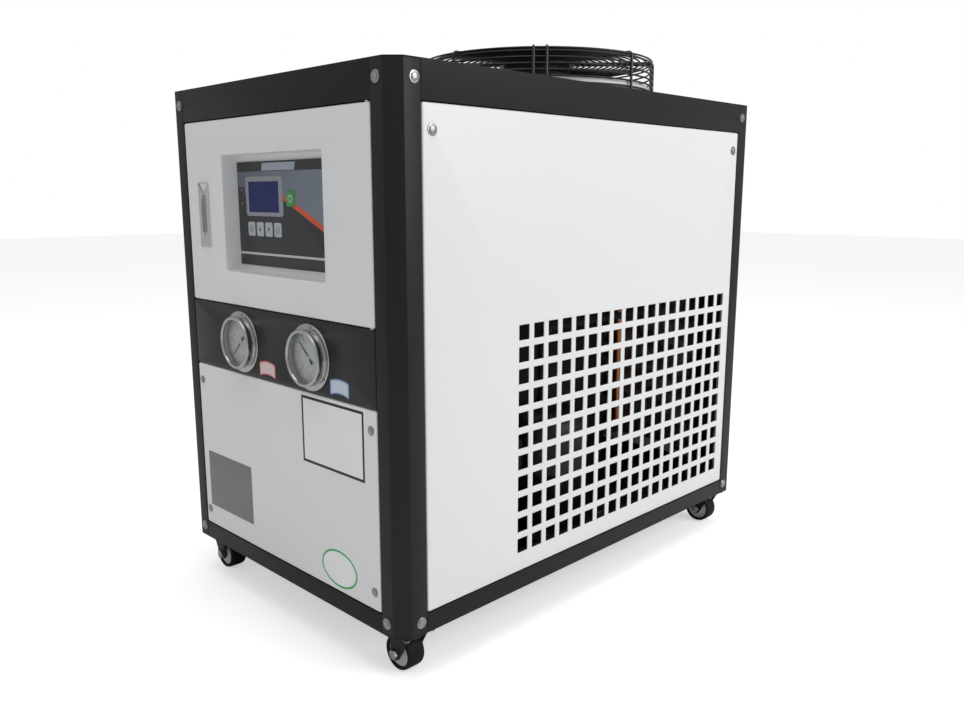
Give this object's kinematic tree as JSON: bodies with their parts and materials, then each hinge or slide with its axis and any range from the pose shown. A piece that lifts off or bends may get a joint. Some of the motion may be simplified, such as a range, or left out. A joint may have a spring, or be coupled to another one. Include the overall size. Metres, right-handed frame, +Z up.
{
  "type": "water chiller",
  "caption": "Portable air cooled water chiller in a sheet metal cabinet with hinged control door, gauges, perforated side grille, caged top fan and swivel casters.",
  "frame": {"origin": "bottom centre of the whole object's box, on the floor under the casters", "axes": "+X to the right of a person facing the front, +Y towards the back, +Z up"},
  "size_m": [0.5252, 0.828, 0.82],
  "materials": {
    "frame_black": "satin black powder coat",
    "panel_white": "smooth white powder coat",
    "band_black": "gloss black paint",
    "collar_grey": "light grey paint",
    "guard_black": "black coated wire",
    "steel": "satin steel",
    "zinc": "zinc plated",
    "chrome": "polished",
    "dial_white": "matt",
    "needle_black": "matt",
    "lens_clear": "clear",
    "fascia_dark": "satin film",
    "window_blue": "gloss",
    "key_grey": "satin",
    "key_green": "satin",
    "lamp_clear": "gloss",
    "plastic_black": "fine grain",
    "hub_grey": "satin",
    "tyre_black": "matt rubber",
    "caster_black": "black lacquer",
    "compressor_black": "satin black paint",
    "coil_fins": "thin fins",
    "copper": "drawn copper tube",
    "foam_black": "closed cell foam jacket",
    "pump_iron": "painted casting",
    "brass": "machined",
    "module_grey": "matt",
    "magnet_black": "matt"
  },
  "bodies": {
    "cabinet": {"base_pan": "frame_black", "top_cover": "frame_black", "corner_post_front_left": "frame_black", "corner_post_front_right": "frame_black", "corner_post_rear_left": "frame_black", "corner_post_rear_right": "frame_black", "gauge_panel": "band_black", "lower_front_panel": "panel_white", "right_side_panel": "panel_white", "left_side_panel": "panel_white", "rear_panel": "panel_white", "cabinet_screws": "zinc", "door_hinge_pins": "steel", "door_magnet": "magnet_black", "gauge_case_left": "chrome", "gauge_case_right": "chrome", "gauge_dial_left": "dial_white", "gauge_dial_right": "dial_white", "gauge_lens_left": "lens_clear", "gauge_lens_right": "lens_clear", "fan_collar": "collar_grey", "fan_guard": "guard_black", "fan_motor": "plastic_black", "caster_plates": "caster_black", "compressor": "compressor_black", "condenser_coil": "coil_fins", "copper_line": "copper", "water_tank": "foam_black", "tank_lid": "plastic_black", "circulation_pump": "pump_iron", "water_ports": "brass", "cable_gland": "plastic_black", "electrics_tray": "zinc", "electrics_modules": "module_grey"},
    "door": {"door_panel": "panel_white", "door_pull": "steel", "controller_housing": "plastic_black", "controller_fascia": "fascia_dark", "display_window": "window_blue", "indicator_lamps": "lamp_clear"},
    "key_1_cap": {"key_1": "key_grey"},
    "key_2_cap": {"key_2": "key_grey"},
    "key_3_cap": {"key_3": "key_grey"},
    "key_4_cap": {"key_4": "key_grey"},
    "power_key_cap": {"power_key": "key_green"},
    "left_needle": {"gauge_needle_left": "needle_black"},
    "right_needle": {"gauge_needle_right": "needle_black"},
    "fan": {"fan_rotor": "guard_black"},
    "swivel_front_left": {"caster_fork_front_left": "caster_black"},
    "wheel_front_left": {"wheel_hub_front_left": "hub_grey", "tyre_front_left": "tyre_black"},
    "swivel_front_right": {"caster_fork_front_right": "caster_black"},
    "wheel_front_right": {"wheel_hub_front_right": "hub_grey", "tyre_front_right": "tyre_black"},
    "swivel_rear_left": {"caster_fork_rear_left": "caster_black"},
    "wheel_rear_left": {"wheel_hub_rear_left": "hub_grey", "tyre_rear_left": "tyre_black"},
    "swivel_rear_right": {"caster_fork_rear_right": "caster_black"},
    "wheel_rear_right": {"wheel_hub_rear_right": "hub_grey", "tyre_rear_right": "tyre_black"}
  },
  "joints": [
    {"name": "door_hinge", "type": "hinge", "parent": "cabinet", "child": "door", "pos_m": [0.212, -0.396, 0.57425], "axis": [0, 0, 1], "range_deg": [0, 110]},
    {"name": "key_1_press", "type": "slide", "parent": "door", "child": "key_1_cap", "axis": [0, 1, 0], "range_m": [0, 0.0007], "stiffness_N_per_m": 1500},
    {"name": "key_2_press", "type": "slide", "parent": "door", "child": "key_2_cap", "axis": [0, 1, 0], "range_m": [0, 0.0007], "stiffness_N_per_m": 1500},
    {"name": "key_3_press", "type": "slide", "parent": "door", "child": "key_3_cap", "axis": [0, 1, 0], "range_m": [0, 0.0007], "stiffness_N_per_m": 1500},
    {"name": "key_4_press", "type": "slide", "parent": "door", "child": "key_4_cap", "axis": [0, 1, 0], "range_m": [0, 0.0007], "stiffness_N_per_m": 1500},
    {"name": "power_key_press", "type": "slide", "parent": "door", "child": "power_key_cap", "axis": [0, 1, 0], "range_m": [0, 0.0007], "stiffness_N_per_m": 1500},
    {"name": "left_needle_turn", "type": "hinge", "parent": "cabinet", "child": "left_needle", "pos_m": [-0.08475, -0.398, 0.39385], "axis": [0, 1, 0], "range_deg": [0, 270]},
    {"name": "right_needle_turn", "type": "hinge", "parent": "cabinet", "child": "right_needle", "pos_m": [0.08475, -0.398, 0.39385], "axis": [0, 1, 0], "range_deg": [-89, 181]},
    {"name": "fan_spin", "type": "hinge", "parent": "cabinet", "child": "fan", "pos_m": [0, 0.133, 0.77], "axis": [0, 0, 1], "continuous": true},
    {"name": "swivel_front_left_turn", "type": "hinge", "parent": "cabinet", "child": "swivel_front_left", "pos_m": [-0.228, -0.362, 0.05], "axis": [0, 0, 1], "continuous": true},
    {"name": "wheel_front_left_roll", "type": "hinge", "parent": "swivel_front_left", "child": "wheel_front_left", "pos_m": [-0.22, -0.362, 0.024], "axis": [0, 1, 0], "continuous": true},
    {"name": "swivel_front_right_turn", "type": "hinge", "parent": "cabinet", "child": "swivel_front_right", "pos_m": [0.228, -0.362, 0.05], "axis": [0, 0, 1], "continuous": true},
    {"name": "wheel_front_right_roll", "type": "hinge", "parent": "swivel_front_right", "child": "wheel_front_right", "pos_m": [0.22, -0.362, 0.024], "axis": [0, 1, 0], "continuous": true},
    {"name": "swivel_rear_left_turn", "type": "hinge", "parent": "cabinet", "child": "swivel_rear_left", "pos_m": [-0.228, 0.362, 0.05], "axis": [0, 0, 1], "continuous": true},
    {"name": "wheel_rear_left_roll", "type": "hinge", "parent": "swivel_rear_left", "child": "wheel_rear_left", "pos_m": [-0.22, 0.362, 0.024], "axis": [0, 1, 0], "continuous": true},
    {"name": "swivel_rear_right_turn", "type": "hinge", "parent": "cabinet", "child": "swivel_rear_right", "pos_m": [0.228, 0.362, 0.05], "axis": [0, 0, 1], "continuous": true},
    {"name": "wheel_rear_right_roll", "type": "hinge", "parent": "swivel_rear_right", "child": "wheel_rear_right", "pos_m": [0.22, 0.362, 0.024], "axis": [0, 1, 0], "continuous": true}
  ]
}
